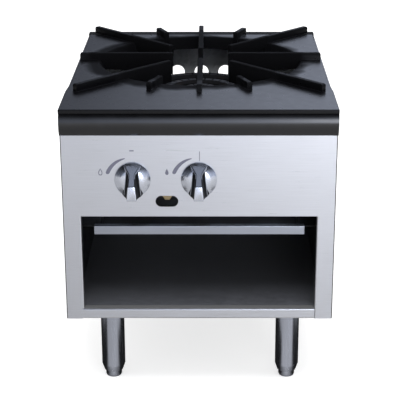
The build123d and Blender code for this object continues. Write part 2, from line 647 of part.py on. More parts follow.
# reach from the panel; height and half width of the pointer's end, then of the tail's
GRIP_SECTIONS = (
    (7.0, 24.5, 5.5, 27.0, 15.0),
    (13.5, 19.5, 4.6, 26.5, 11.5),
    (25.0, 10.5, 5.0, 26.0, 8.6),
    (KNOB_REACH, 0.0, 5.8, 25.0, 7.6),
)
for name, x in VALVES:
    with BuildPart() as gas_valve:
        # plug body, gland and outlet, turned about the stem's axis
        with BuildSketch(Plane(origin=(x, 0, KNOB_Z), x_dir=(0, 1, 0), z_dir=(1, 0, 0))):
            with BuildLine():
                Polyline(
                    (VALVE_FRONT, 0),
                    (VALVE_FRONT, 8),
                    (VALVE_FRONT + 8, 8),
                    (VALVE_FRONT + 8, 13),
                    (VALVE_FRONT + 42, 11),
                    (VALVE_BACK - 14, 11),
                    (VALVE_BACK - 14, 7.5),
                    (VALVE_BACK, 7.5),
                    (VALVE_BACK, 0),
                    close=True,
                )
            make_face()
        revolve(axis=Axis((x, 0, KNOB_Z), (0, 1, 0)))
        with BuildSketch(Plane.XY.offset(SPUD_TOP)):
            with Locations((x, MANIFOLD_Y)):
                RegularPolygon(11, 6)
        extrude(amount=KNOB_Z - SPUD_TOP - 4)
        with BuildSketch(facing_front(VALVE_FRONT, x, KNOB_Z)):
            Circle(STEM_R + 0.06)
        extrude(amount=-16, mode=Mode.SUBTRACT)
    save(gas_valve.part, f"{name}_gas_valve")

    with BuildPart() as orifice_hood:
        with BuildSketch(facing_front(VALVE_BACK, x, KNOB_Z)):
            RegularPolygon(8, 6)
        extrude(amount=-14)
        with BuildSketch(facing_front(VALVE_BACK + 14, x, KNOB_Z)):
            Circle(6.5)
        extrude(amount=-16, taper=10)
        with BuildSketch(facing_front(VALVE_BACK + 30, x, KNOB_Z)):
            Circle(1.1)
        extrude(amount=6, mode=Mode.SUBTRACT)
    save(orifice_hood.part, f"{name}_orifice_hood")

    stem_back = VALVE_FRONT + 14
    stem_front = PANEL_Y - 26
    with BuildPart() as valve_stem:
        with BuildSketch(facing_front(stem_back, x, KNOB_Z)):
            Circle(STEM_R)
        extrude(amount=stem_back - stem_front)
        # flat that keys the knob
        with BuildSketch(facing_front(PANEL_Y - 6, x, KNOB_Z)):
            with Locations((0, STEM_R)):
                Rectangle(2 * STEM_R, 3.0)
        extrude(amount=30, mode=Mode.SUBTRACT)
    save(valve_stem.part, f"{name}_valve_stem")

    with BuildPart() as knob:
        # round skirt: a bevelled bezel round a nearly flat face
        with BuildSketch(Plane(origin=(x, PANEL_Y, KNOB_Z), x_dir=(0, -1, 0), z_dir=(-1, 0, 0))):
            with BuildLine():
                Polyline(
                    (1, 0), (1, KNOB_R - 1), (3, KNOB_R), (9.5, KNOB_R - 10), (12, 0), close=True
                )
            make_face()
        revolve(axis=Axis((x, 0, KNOB_Z), (0, 1, 0)))
        # grip: a ridge with hollow flanks that falls away to its pointer and spreads to its tail
        for reach, tip, tip_half, tail, tail_half in GRIP_SECTIONS:
            with BuildSketch(facing_front(PANEL_Y - reach, x, KNOB_Z)):
                Polygon(
                    (-tip_half, tip), (tip_half, tip), (tail_half, -tail), (-tail_half, -tail),
                    align=None,
                )
        loft(ruled=True)
        chamfer(knob.faces().sort_by(Axis.Y)[0].edges(), 0.9)
        with BuildSketch(facing_front(PANEL_Y, x, KNOB_Z)):
            Circle(STEM_R)
            with Locations((0, STEM_R)):
                Rectangle(2 * STEM_R, 3.0, mode=Mode.SUBTRACT)
        extrude(amount=27, mode=Mode.SUBTRACT)
        with BuildSketch(facing_front(PANEL_Y, x, KNOB_Z)):
            Circle(STEM_R)
        extrude(amount=6, mode=Mode.SUBTRACT)
    save(knob.part, f"{name}_knob")

# ---------------------------------------------------------------- pilot
PILOT_X = LIGHTING_SLOT[0]
pilot_valve_y = MANIFOLD_Y - 19.0
tube_y = pilot_valve_y - 6
with BuildPart() as pilot_valve:
    with BuildSketch(facing_front(pilot_valve_y, PILOT_X, MANIFOLD_Z)):
        RegularPolygon(8, 6)
    extrude(amount=13)
    with BuildSketch(facing_front(pilot_valve_y - 13, PILOT_X, MANIFOLD_Z)):
        Circle(4.5)
    extrude(amount=5)
    # screwdriver slot of the adjuster
    with BuildSketch(facing_front(pilot_valve_y - 18, PILOT_X, MANIFOLD_Z)):
        Rectangle(9, 1.2)
    extrude(amount=-2, mode=Mode.SUBTRACT)
    with BuildSketch(Plane.XY.offset(MANIFOLD_Z)):
        with Locations((PILOT_X, tube_y)):
            Circle(4.5)
    extrude(amount=14)
save(pilot_valve.part, "pilot_valve")

ring_front = BURNER_Y - sqrt(OUTER_RING[1] ** 2 - PILOT_X**2)
pilot_y = ring_front - 12
BRACKET_SHEET = 1.5
bracket_z = BURNER_SEAT - 4
pilot_seat = bracket_z + BRACKET_SHEET / 2
tube_z = BURNER_SEAT - 24
with BuildPart() as pilot_tube:
    with BuildLine(Plane.YZ.offset(PILOT_X)):
        FilletPolyline(
            (tube_y, MANIFOLD_Z + 14),
            (tube_y, tube_z),
            (pilot_y, tube_z),
            (pilot_y, pilot_seat),
            radius=8,
        )
    with BuildSketch(Plane(origin=(PILOT_X, tube_y, MANIFOLD_Z + 14), z_dir=(0, 0, 1))):
        Circle(3.175)
    sweep()
save(pilot_tube.part, "pilot_tube")

with BuildPart() as pilot_bracket:
    bracket_y = BURNER_Y - RAIL_REACH - 1.8
    with BuildSketch(Plane.YZ.offset(PILOT_X - 9)):
        sheet(
            (bracket_y, BURNER_SEAT - 18),
            (bracket_y, bracket_z),
            (pilot_y - 8, bracket_z),
            gauge=BRACKET_SHEET,
        )
    extrude(amount=18)
    with BuildSketch(Plane.XY.offset(bracket_z - 2)):
        with Locations((PILOT_X, pilot_y)):
            Circle(3.3)
    extrude(amount=4, mode=Mode.SUBTRACT)
save(pilot_bracket.part, "pilot_bracket")

with BuildPart() as pilot_burner:
    pilot_top = BURNER_TOP + 4
    with BuildSketch(Plane.XY.offset(pilot_seat)):
        with Locations((PILOT_X, pilot_y)):
            RegularPolygon(6.5, 6)
    extrude(amount=8)
    with BuildSketch(Plane.XY.offset(pilot_seat)):
        with Locations((PILOT_X, pilot_y)):
            Circle(4)
    extrude(amount=pilot_top - pilot_seat)
    # hooded slot that throws the flame at the outer ring
    with BuildSketch(Plane.XY.offset(pilot_top - 6)):
        with Locations((PILOT_X, pilot_y + 3)):
            Rectangle(5, 6)
    extrude(amount=3, mode=Mode.SUBTRACT)
save(pilot_burner.part, "pilot_burner")

# ---------------------------------------------------------------- drip tray
TRAY_GAUGE = 1.2
TRAY_FLANGE = 8.0
pull_front = PANEL_Y + TRAY_SETBACK
pull_back = pull_front + 9.0
tray_front = pull_front + SHEET
tray_back = BACK_Y - 40.0
tray_rim = TRAY_BOTTOM + TRAY_DEPTH - 2 * SHEET
with BuildPart() as drip_tray:
    # the flat bottom, which carries the walls
    with BuildSketch(Plane.XY.offset(TRAY_BOTTOM)):
        with Locations((0, (tray_front + tray_back) / 2)):
            Rectangle(2 * TRAY_HALF_WIDTH, tray_back - tray_front)
    extrude(amount=TRAY_GAUGE)
save(drip_tray.part, "drip_tray")

with BuildPart() as tray_side_walls:
    # each turns outward at the top into a flange that slides on its rail
    for side, sx in SIDES:
        wall_x = sx * (TRAY_HALF_WIDTH - TRAY_GAUGE / 2)
        with BuildSketch(facing_front(tray_back)):
            sheet(
                (wall_x, TRAY_BOTTOM + TRAY_GAUGE),
                (wall_x, tray_rim - TRAY_GAUGE / 2),
                (sx * (TRAY_HALF_WIDTH + TRAY_FLANGE), tray_rim - TRAY_GAUGE / 2),
                gauge=TRAY_GAUGE,
            )
        extrude(amount=tray_back - tray_front)
save(tray_side_walls.part, "tray_side_walls")

with BuildPart() as tray_end_walls:
    with BuildSketch(Plane.XY.offset(TRAY_BOTTOM + TRAY_GAUGE)):
        with Locations((0, tray_front + TRAY_GAUGE / 2), (0, tray_back - TRAY_GAUGE / 2)):
            Rectangle(2 * (TRAY_HALF_WIDTH - TRAY_GAUGE), TRAY_GAUGE)
    extrude(amount=tray_rim - TRAY_BOTTOM - TRAY_GAUGE)
save(tray_end_walls.part, "tray_end_walls")

with BuildPart() as tray_pull:
    # folded strip on the front wall, wider than the tray, with a flange over the rim
    with BuildSketch(Plane.YZ.offset(-PULL_HALF_WIDTH)):
        pull_top = TRAY_BOTTOM + TRAY_DEPTH - SHEET / 2
        sheet(
            (pull_front + SHEET / 2, TRAY_BOTTOM),
            (pull_front + SHEET / 2, pull_top),
            (pull_back, pull_top),
            bend=1.6,
        )
    extrude(amount=2 * PULL_HALF_WIDTH)
save(tray_pull.part, "tray_pull")

for side, sx in SIDES:
    wall_x = LINER_X - LINER_GAUGE / 2 - SHEET / 2
    shelf_z = tray_rim - TRAY_GAUGE - 0.35 - SHEET / 2  # just under the tray's flanges
    rail_front = pull_back + 1.0
    rail_back = BACK_Y - 30.0
    with BuildPart() as tray_rail:
        with BuildSketch(facing_front(rail_back)):
            sheet(
                (sx * wall_x, shelf_z + 18),
                (sx * wall_x, shelf_z),
                (sx * (TRAY_HALF_WIDTH + 1.6), shelf_z),
                bend=2.0,
            )
        extrude(amount=rail_back - rail_front)
    save(tray_rail.part, f"{side}_tray_rail")

# ---------------------------------------------------------------- legs
PLATE_T = 3.0
PLATE_SIZE = 90.0
PLATE_HOLES = 66.0
TAPER_TOP = 25.0
FOOT_BORE = FOOT_R + 0.08
for corner, x, y in CORNERS:
    with BuildPart() as leg_plate:
        with BuildSketch(Plane.XY.offset(LEG_HEIGHT - PLATE_T)):
            with Locations((x, y)):
                plate = Rectangle(PLATE_SIZE, PLATE_SIZE)
                chamfer(plate.vertices(), 7)
                with GridLocations(PLATE_HOLES, PLATE_HOLES, 2, 2):
                    Circle(3.4, mode=Mode.SUBTRACT)
        extrude(amount=PLATE_T)
    save(leg_plate.part, f"{corner}_leg_plate")

    with BuildPart() as leg:
        # tube with a tapered end; the foot runs in its guide
        with BuildSketch(facing_front(y, x)):
            with BuildLine():
                Polyline(
                    (FOOT_BORE, FOOT_REVEAL),
                    (FOOT_R + 2.5, FOOT_REVEAL),
                    (LEG_R, TAPER_TOP),
                    (LEG_R, LEG_HEIGHT - PLATE_T),
                    (0, LEG_HEIGHT - PLATE_T),
                    (0, LEG_HEIGHT - PLATE_T - 4),
                    (LEG_R - 1.6, LEG_HEIGHT - PLATE_T - 4),
                    (LEG_R - 1.6, 55),
                    (FOOT_BORE, 50),
                    close=True,
                )
            make_face()
        revolve(axis=Axis((x, y, 0), (0, 0, 1)))
    save(leg.part, f"{corner}_leg")

    with BuildPart() as foot:
        # bullet foot: rounded tread and a long shank inside the leg
        with BuildSketch(facing_front(y, x)):
            with BuildLine():
                Polyline(
                    (0, 0), (FOOT_R - 4, 0), (FOOT_R - 1.2, 1.2), (FOOT_R, 4),
                    (FOOT_R, 78), (0, 78), close=True,
                )
            make_face()
        revolve(axis=Axis((x, y, 0), (0, 0, 1)))
    save(foot.part, f"{corner}_foot")

# ---------------------------------------------------------------- fasteners
with BuildPart() as leg_plate_bolts:
    with BuildSketch(Plane.XY.offset(LEG_HEIGHT - PLATE_T - 4.5)):
        for corner, x, y in CORNERS:
            with Locations((x, y)):
                with GridLocations(PLATE_HOLES, PLATE_HOLES, 2, 2):
                    RegularPolygon(5.8, 6)
    extrude(amount=4.5)
save(leg_plate_bolts.part, "leg_plate_bolts")

with BuildPart() as back_panel_screws:
    with BuildSketch(facing_front(BACK_Y)):
        with Locations((0, (LEG_HEIGHT + SEAT_Z) / 2)):
            with GridLocations(2 * 219.5, 80, 2, 5):
                RegularPolygon(4.6, 6)
    extrude(amount=-4)
save(back_panel_screws.part, "back_panel_screws")
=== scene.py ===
import json
from math import cos, hypot, pi, radians, sin

import bmesh
import bpy
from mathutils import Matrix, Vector


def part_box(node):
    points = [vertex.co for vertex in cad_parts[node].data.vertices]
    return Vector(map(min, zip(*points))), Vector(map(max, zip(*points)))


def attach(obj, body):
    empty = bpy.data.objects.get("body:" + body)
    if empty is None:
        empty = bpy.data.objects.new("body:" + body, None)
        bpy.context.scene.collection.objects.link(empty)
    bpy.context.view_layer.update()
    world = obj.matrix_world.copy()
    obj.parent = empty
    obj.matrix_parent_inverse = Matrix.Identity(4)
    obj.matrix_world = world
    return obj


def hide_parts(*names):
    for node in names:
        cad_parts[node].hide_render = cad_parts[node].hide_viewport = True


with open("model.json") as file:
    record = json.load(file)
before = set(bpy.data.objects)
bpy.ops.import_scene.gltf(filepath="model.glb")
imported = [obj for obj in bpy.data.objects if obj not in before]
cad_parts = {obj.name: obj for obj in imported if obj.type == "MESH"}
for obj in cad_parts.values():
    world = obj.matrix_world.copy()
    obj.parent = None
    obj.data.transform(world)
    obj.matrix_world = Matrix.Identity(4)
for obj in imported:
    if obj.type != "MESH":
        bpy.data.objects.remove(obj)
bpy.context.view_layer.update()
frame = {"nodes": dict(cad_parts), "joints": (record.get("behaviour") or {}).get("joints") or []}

bl_info = {
    "name": "Stock Pot Range Dresser",
    "version": (1, 0, 0),
    "blender": (4, 5, 0),
    "location": "3D View > Sidebar > Range",
    "description": "Finishes, marks and fine pieces of a stock pot range around its solid model",
    "category": "Object",
}

MM = 0.001
CORNERS = ("front_left", "front_right", "rear_left", "rear_right")
VALVES = ("outer", "inner")
NODES = frame["nodes"]
JOINTS = {joint["name"]: joint for joint in frame["joints"]}
PANEL_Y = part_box("control_panel")[0].y  # front face of the control panel
LAP_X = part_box("control_panel")[1].x - 0.9 * MM  # from there out, the sides' paint laps over
LEG_X = sum(corner.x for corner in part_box("front_right_leg")) / 2  # axis of a leg
LEG_Y = (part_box("front_right_leg")[0].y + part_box("rear_right_leg")[1].y) / 2  # between the legs
LEG_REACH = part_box("rear_right_leg")[1].y - LEG_Y  # from there to the outside of a leg
FRONT = (0, -1, 0)
BACK = (0, 1, 0)
DOWN = (0, 0, -1)
BOWL_R = 185 * MM  # round opening in the top casting
TAN_30 = 0.577
INK = (0.02, 0.12)  # the print's back and front ahead of the panel, in mm
SOFTBOX = 0.8  # side of a lamp


# ---------------------------------------------------------------- node helpers
def colour(hex_code):
    """A linear RGBA colour from an sRGB hex value."""
    levels = [int(hex_code[i:i + 2], 16) / 255 for i in (0, 2, 4)]
    linear = [v / 12.92 if v <= 0.04045 else ((v + 0.055) / 1.055) ** 2.4 for v in levels]
    return (*linear, 1.0)


def shade(base, factor):
    """A colour times a factor."""
    return (*(min(1.0, level * factor) for level in base[:3]), 1.0)


def add_node(tree, kind, links=None, **settings):
    """Adds a node, sets its properties, and gives each socket a value or another node's output."""
    node = tree.nodes.new(kind)
    for name, value in settings.items():
        setattr(node, name, value)
    for socket, value in (links or {}).items():
        if isinstance(value, bpy.types.NodeSocket):
            tree.links.new(value, node.inputs[socket])
        else:
            node.inputs[socket].default_value = value
    return node


def new_material(name, **constants):
    """A material with a Principled shader whose constant sockets are set directly."""
    material = bpy.data.materials.new(name)
    material.use_nodes = True
    tree = material.node_tree
    tree.nodes.clear()
    shader = add_node(tree, "ShaderNodeBsdfPrincipled", constants)
    add_node(tree, "ShaderNodeOutputMaterial", {"Surface": shader.outputs[0]})
    return material, tree, shader


def place_m(tree):
    """A point's place in the object's own space, in metres. Z is its height above the floor."""
    return add_node(tree, "ShaderNodeTexCoord").outputs["Object"]


def split(tree, vector):
    """The X, Y and Z of a vector."""
    return add_node(tree, "ShaderNodeSeparateXYZ", {0: vector}).outputs


def in_mm(tree, size_mm):
    """The object's own space, with one unit for size_mm along X, Y and Z."""
    per_unit = [1 / (size * MM) for size in size_mm]
    return add_node(
        tree, "ShaderNodeMapping", {"Vector": place_m(tree), "Scale": per_unit}
    ).outputs[0]


def grain(tree, size_mm, detail=3.0, rough=0.5):
    """Noise in lumps of size_mm along X, Y and Z."""
    return add_node(
        tree, "ShaderNodeTexNoise",
        {"Vector": in_mm(tree, size_mm), "Scale": 1.0, "Detail": detail, "Roughness": rough},
    ).outputs[0]


def from_axis(tree, x, y):
    """Distance from the upright axis through x and y, in metres."""
    offset = add_node(
        tree, "ShaderNodeMapping",
        {"Vector": place_m(tree), "Location": (-x, -y, 0), "Scale": (1, 1, 0)},
    ).outputs[0]
    return add_node(
        tree, "ShaderNodeVectorMath", {0: offset}, operation="LENGTH"
    ).outputs["Value"]


def spread(tree, value, low, high, out_low, out_high):
    """value, moved from low..high to out_low..out_high."""
    return add_node(
        tree, "ShaderNodeMapRange", {0: value, 1: low, 2: high, 3: out_low, 4: out_high}
    ).outputs[0]


def combine(tree, operation, first, second):
    """Two values, added, multiplied and so on."""
    return add_node(tree, "ShaderNodeMath", {0: first, 1: second}, operation=operation).outputs[0]


def size_of(tree, value):
    """A value without its sign."""
    return add_node(tree, "ShaderNodeMath", {0: value}, operation="ABSOLUTE").outputs[0]


def blend(tree, factor, first, second):
    """A colour between two colours."""
    return add_node(
        tree, "ShaderNodeMix", {0: factor, 6: first, 7: second}, data_type="RGBA"
    ).outputs[2]


def rounded(tree, radius_mm):
    """A normal that rounds the edges of a casting or a folded sheet."""
    return add_node(tree, "ShaderNodeBevel", {"Radius": radius_mm * MM}, samples=6).outputs[0]


def dress(tree, shader, base_colour, roughness, height, depth_mm, normal=None):
    """Links colour and roughness, and a bump of depth_mm."""
    tree.links.new(base_colour, shader.inputs["Base Color"])
    tree.links.new(roughness, shader.inputs["Roughness"])
    links = {"Height": height, "Distance": depth_mm * MM, "Strength": 0.5}
    if normal:
        links["Normal"] = normal
    bump = add_node(tree, "ShaderNodeBump", links)
    tree.links.new(bump.outputs[0], shader.inputs["Normal"])


def finish(material, *nodes):
    """Gives carried-over solids one material."""
    for name in nodes:
        mesh = NODES[name].data
        mesh.materials.clear()
        mesh.materials.append(material)


# ---------------------------------------------------------------- mesh helpers
def shell(mesh, rings, looped=False):
    """Joins closed rings of points, each to the next. The ends are capped, or joined if looped."""
    made = [[mesh.verts.new(point) for point in ring] for ring in rings]
    count = len(made[0])
    pairs = list(zip(made, made[1:]))
    if looped:
        pairs.append((made[-1], made[0]))
    else:
        mesh.faces.new(made[0][::-1])
        mesh.faces.new(made[-1])
    for ring, other in pairs:
        for i in range(count):
            j = (i + 1) % count
            mesh.faces.new((ring[i], ring[j], other[j], other[i]))


def closed_mesh(name, shells, looped=False):
    """A mesh of closed shells, with its normals outward."""
    mesh = bmesh.new()
    for rings in shells:
        shell(mesh, rings, looped)
    bmesh.ops.recalc_face_normals(mesh, faces=mesh.faces)
    data = bpy.data.meshes.new(name)
    mesh.to_mesh(data)
    mesh.free()
    return data


def turned(centre, direction, profile, count):
    """Rings about an axis from pairs of height and radius in mm. Either may depend on the angle."""
    along = Vector(direction).normalized()
    across = Vector((1, 0, 0))
    up = along.cross(across)
    rings = []
    for height, radius in profile:
        ring = []
        for i in range(count):
            angle = 2 * pi * i / count
            h = height(angle) if callable(height) else height
            r = radius(angle) if callable(radius) else radius
            ring.append(centre + MM * (h * along + r * (cos(angle) * across + sin(angle) * up)))
        rings.append(ring)
    return rings


def hex_head(centre, direction, flat, height, washer_r, washer_t):
    """A bolt head on its washer, in mm. flat is from the axis to a flat, and the corners of the
    hexagon are turned off at 30 degrees."""
    def hexagon(angle):
        return flat / cos((angle + pi / 6) % (pi / 3) - pi / 6)

    def shoulder(angle):
        return height - 0.2 - (hexagon(angle) - flat * 0.94) * TAN_30

    washer = [(0, washer_r - 0.3), (0.2, washer_r), (washer_t - 0.2, washer_r),
              (washer_t, washer_r - 0.3)]
    head = [(washer_t - 0.1, hexagon), (shoulder, hexagon), (height, flat * 0.93)]
    return [turned(centre, direction, profile, 24) for profile in (washer, head)]


def place(name, data, body, material, sharp=35):
    """Links a mesh as a piece, lets it ride on a body, and gives it its slot and finish.
    Edges sharper than sharp degrees stay sharp."""
    piece = bpy.data.objects.new(name, data)
    bpy.context.scene.collection.objects.link(piece)
    data.materials.append(material)
    data.shade_smooth()
    data.set_sharp_from_angle(angle=radians(sharp))
    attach(piece, body)
    return piece


# ---------------------------------------------------------------- finishes
def brushed_stainless(name, base, scuffed_above=None):
    """Stainless sheet, belt-brushed along X: fine parallel marks that pull highlights out across
    them. The real marks are 0.1 mm apart; they are drawn 1.2 mm apart to show in the render. The
    black paint of the side panels laps over the outer edges of upright sheets. A ledge that pots
    are dragged over is scuffed dull above the height given."""
    material, tree, shader = new_material(
        name, **{"Metallic": 1.0, "Anisotropic": 0.5, "Anisotropic Rotation": 0.25}
    )
    marks = grain(tree, (70, 1.2, 1.2), detail=4.0, rough=0.6)
    clouds = grain(tree, (120, 120, 90), detail=2.0)
    stripes = spread(tree, marks, 0.3, 0.7, 0, 1)
    brushed = blend(tree, stripes, shade(base, 0.94), shade(base, 1.03))
    handled = blend(tree, spread(tree, clouds, 0.4, 0.75, 0, 0.3), brushed, shade(base, 0.9))
    roughness = spread(tree, marks, 0.25, 0.75, 0.26, 0.36)
    x, _, z = split(tree, place_m(tree))
    if scuffed_above is None:
        painted = spread(tree, size_of(tree, x), LAP_X, LAP_X + 0.2 * MM, 0, 1)
        handled = blend(tree, painted, handled, shade(base, 0.02))
        metallic = spread(tree, painted, 0, 1, 1.0, 0.0)
    else:
        worn = spread(tree, z, scuffed_above, scuffed_above + 0.3 * MM, 0, 1)
        handled = blend(tree, worn, handled, shade(base, 0.2))
        roughness = combine(tree, "MAXIMUM", roughness, combine(tree, "MULTIPLY", worn, 0.6))
        metallic = spread(tree, worn, 0, 1, 1.0, 0.1)
    tree.links.new(metallic, shader.inputs["Metallic"])
    dress(tree, shader, handled, roughness, marks, 0.012)
    return material


def satin_enamel(base, edge_and_highlight):
    """Sand-cast iron under black vitreous enamel: an even sheen with soft lumps from the sand,
    greyer edges, partly where the enamel is thin and partly a painted highlight, and fin tops
    that pots have rubbed dull. Inside the bowl and about 30 mm around it, the flame has burnt off
    the sheen in an uneven ring."""
    material, tree, shader = new_material("cast_iron_enamelled", **{"IOR": 1.3})
    sand = grain(tree, (1.8,) * 3, rough=0.6)
    lumps = grain(tree, (16,) * 3, detail=2.0)
    soft = rounded(tree, 1.4)
    flat = add_node(tree, "ShaderNodeNewGeometry").outputs["Normal"]
    bend = add_node(
        tree, "ShaderNodeVectorMath", {0: soft, 1: flat}, operation="DOT_PRODUCT"
    ).outputs["Value"]
    # edges lighter than the faces: partly thin enamel, partly a painted highlight
    tone = blend(tree, spread(tree, bend, 0.98, 0.80, 0, 0.55), base, edge_and_highlight)
    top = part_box("top_grate")[1].z
    z = split(tree, place_m(tree))[2]
    rubbed = spread(tree, z, top - 8 * MM, top - 3 * MM, 0, 0.4)
    sheen = combine(tree, "ADD", spread(tree, lumps, 0.3, 0.7, 0.27, 0.32), rubbed)
    low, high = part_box("outer_ring_burner")
    ring_r = (high.x - low.x) / 2
    from_flame = from_axis(tree, low.x + ring_r, high.y - ring_r)
    licks = spread(tree, grain(tree, (45,) * 3, detail=2.0), 0.3, 0.7, -6 * MM, 6 * MM)
    burnt = spread(tree, combine(tree, "ADD", from_flame, licks), BOWL_R + 9 * MM,
                   BOWL_R + 32 * MM, 0.95, 0.2)
    roughness = combine(tree, "MAXIMUM", sheen, burnt)
    dress(tree, shader, tone, roughness, sand, 0.012, soft)
    return material


def gloss_enamel(base):
    """Steel sheet with glossy black vitreous enamel: almost a mirror, with a slight orange peel."""
    material, tree, shader = new_material("steel_enamelled_gloss", **{"IOR": 1.58})
    peel = grain(tree, (6,) * 3, detail=1.0)
    dust = grain(tree, (40,) * 3, detail=4.0)
    tone = blend(tree, spread(tree, dust, 0.4, 0.8, 0, 0.6), base, shade(base, 2.2))
    dress(tree, shader, tone, spread(tree, dust, 0.3, 0.7, 0.16, 0.24), peel, 0.02)
    return material


def baked_paint(name, base, low, high):
    """Steel sheet with baked paint: fine powder texture, low sheen, rubbed paler in places."""
    material, tree, shader = new_material(name, **{"IOR": 1.46})
    powder = grain(tree, (1.0,) * 3, detail=2.0)
    rubbed = grain(tree, (60,) * 3, detail=4.0)
    tone = blend(tree, spread(tree, rubbed, 0.4, 0.8, 0, 1), base, shade(base, 1.3))
    dress(tree, shader, tone, spread(tree, rubbed, 0.3, 0.7, low, high), powder, 0.03,
          rounded(tree, 0.6))
    return material


def galvanised(name, base, metallic=1.0, scorched_above=None):
    """Hot-dip galvanised sheet: zinc crystals 8 mm across, each a little lighter or darker.
    Weathered zinc has a white bloom, and is less of a mirror. Beside the flame it is scorched
    black, above the height given."""
    material, tree, shader = new_material(name, **{"Metallic": metallic})
    crystals = add_node(
        tree, "ShaderNodeTexVoronoi", {"Vector": in_mm(tree, (8,) * 3), "Scale": 1.0}
    ).outputs["Color"]
    tone = add_node(tree, "ShaderNodeSeparateColor", {0: crystals}).outputs[0]
    zinc = blend(tree, tone, shade(base, 0.75), base)
    roughness = spread(tree, tone, 0, 1, 0.38, 0.52)
    if scorched_above is not None:
        z = split(tree, place_m(tree))[2]
        soot = spread(tree, z, scorched_above - 6 * MM, scorched_above, 0, 1)
        zinc = blend(tree, soot, zinc, shade(base, 0.02))
        roughness = combine(tree, "MAXIMUM", roughness, combine(tree, "MULTIPLY", soot, 0.9))
    dress(tree, shader, zinc, roughness, grain(tree, (1.2,) * 3), 0.02, rounded(tree, 0.8))
    return material


def bare_casting(base):
    """Bare grey iron as it leaves the sand: coarse grain, dull, with scale and a trace of rust."""
    material, tree, shader = new_material("cast_iron_bare", **{"Metallic": 0.5})
    sand = grain(tree, (1.6,) * 3, detail=5.0, rough=0.65)
    patches = grain(tree, (24,) * 3)
    scaled = blend(tree, spread(tree, sand, 0.35, 0.8, 0, 0.6), base, colour("2E2E31"))
    rusted = blend(tree, spread(tree, patches, 0.55, 0.8, 0, 0.35), scaled, colour("332922"))
    dress(tree, shader, rusted, spread(tree, sand, 0.3, 0.7, 0.5, 0.68), sand, 0.25,
          rounded(tree, 1.0))
    return material


def turned_metal(name, base, roughness):
    """Metal turned on a lathe or drawn as a tube: faint rings and a satin polish."""
    material, tree, shader = new_material(name, **{"Metallic": 1.0})
    rings = grain(tree, (20, 0.6, 0.6))
    tone = blend(tree, spread(tree, rings, 0.3, 0.7, 0, 1), shade(base, 0.82), base)
    dress(tree, shader, tone, spread(tree, rings, 0.3, 0.7, roughness - 0.04, roughness + 0.06),
          rings, 0.015, rounded(tree, 0.5))
    return material


def satin_chrome(base):
    """Die-cast zinc with satin chrome: smooth and bright, with the fine pebble of the blasting."""
    material, tree, shader = new_material("zinc_satin_chrome", **{"Metallic": 1.0})
    haze = grain(tree, (14,) * 3)
    dress(tree, shader, blend(tree, haze, shade(base, 0.92), base),
          spread(tree, haze, 0.3, 0.7, 0.20, 0.28), grain(tree, (0.8,) * 3), 0.006)
    return material


def matt_black(base):
    """Die-cast zinc in matt near-black, on the hollow flanks of a chrome knob's grip."""
    material, tree, shader = new_material("zinc_matt_near_black", **{"IOR": 1.25})
    pebble = grain(tree, (0.8,) * 3)
    dress(tree, shader, blend(tree, pebble, base, shade(base, 1.6)),
          spread(tree, pebble, 0.3, 0.7, 0.5, 0.65), pebble, 0.01)
    return material


def plated_tube(base):
    """Drawn steel tube with satin nickel: a soft mirror that shows the room as upright bands."""
    material, tree, shader = new_material("steel_satin_nickel", **{"Metallic": 1.0})
    drawn = grain(tree, (1.4, 1.4, 80))
    tone = blend(tree, spread(tree, drawn, 0.3, 0.7, 0, 1), shade(base, 0.9), base)
    dress(tree, shader, tone, spread(tree, drawn, 0.3, 0.7, 0.20, 0.28), drawn, 0.006,
          rounded(tree, 0.8))
    return material


def screen_ink(base):
    """Grey screen-printed ink: flat and matt, a little uneven from the mesh of the screen."""
    material, tree, shader = new_material("ink_screen_printed", **{"IOR": 1.45})
    weave = grain(tree, (0.8,) * 3, detail=1.0)
    dress(tree, shader, blend(tree, weave, base, shade(base, 1.3)),
          spread(tree, weave, 0, 1, 0.45, 0.6), weave, 0.01)
    return material


# ---------------------------------------------------------------- settings
def hue(name, description, hex_code):
    """A colour setting."""
    return bpy.props.FloatVectorProperty(
        name=name, description=description, default=colour(hex_code), size=4, subtype="COLOR",
        min=0.0, max=1.0,
    )


def length(name, description, mm):
    """A length setting."""
    return bpy.props.FloatProperty(
        name=name, description=description, default=mm * MM, unit="LENGTH", precision=5
    )


class FinishSettings(bpy.types.PropertyGroup):
    """Colours of the finishes"""
    stainless: hue("Stainless", "Brushed front sheets", "D6D7DA")
    # the pull's colour is the stainless darkened: painted shade on the pull, set back in the
    # opening
    pull: hue("Tray pull", "Dull stainless of the tray's pull", "A9ADB4")
    enamel: hue("Grate enamel", "Enamelled top casting", "070709")
    # lighter edge tone of the casting: partly thin enamel, partly a painted highlight
    enamel_edge_highlight: hue("Grate edges", "Edges of the top casting", "1A1B1E")
    nose: hue("Nose enamel", "Glossy front rail", "0A0A0C")
    body_paint: hue("Body paint", "Side panels", "3A3A3E")
    inside_paint: hue("Inside paint", "Painted cabinet inside, tray and tray rails", "0C0C0E")
    back_zinc: hue("Back zinc", "Weathered galvanised back panel", "BCBFC2")
    floor_zinc: hue("Floor zinc", "Galvanised cabinet floor", "5E6066")
    zinc: hue("Zinc", "Galvanised inner sheets", "A9ADB0")
    casting: hue("Burner iron", "Bare burner castings", "161618")
    pipe: hue("Pipe", "Black gas pipe and fittings", "1B1B1D")
    brass: hue("Brass", "Gas valves and orifice hoods", "B9A681")
    aluminium: hue("Aluminium", "Pilot tube", "C8CACD")
    steel: hue("Turned steel", "Valve stems and the pilot burner", "A6A7AA")
    chrome: hue("Knob chrome", "Control knobs", "E3E7F0")
    # near-black matt colour on the flanks of the knobs' grips
    recess: hue("Knob recess", "Blackened flanks of the knobs' grips", "050507")
    nickel: hue("Leg nickel", "Legs, their plates and feet", "C4C8D2")
    fasteners: hue("Fasteners", "Bolts and screws", "B4B6B4")
    ink: hue("Ink", "Printed marks on the panel", "5E5F6E")


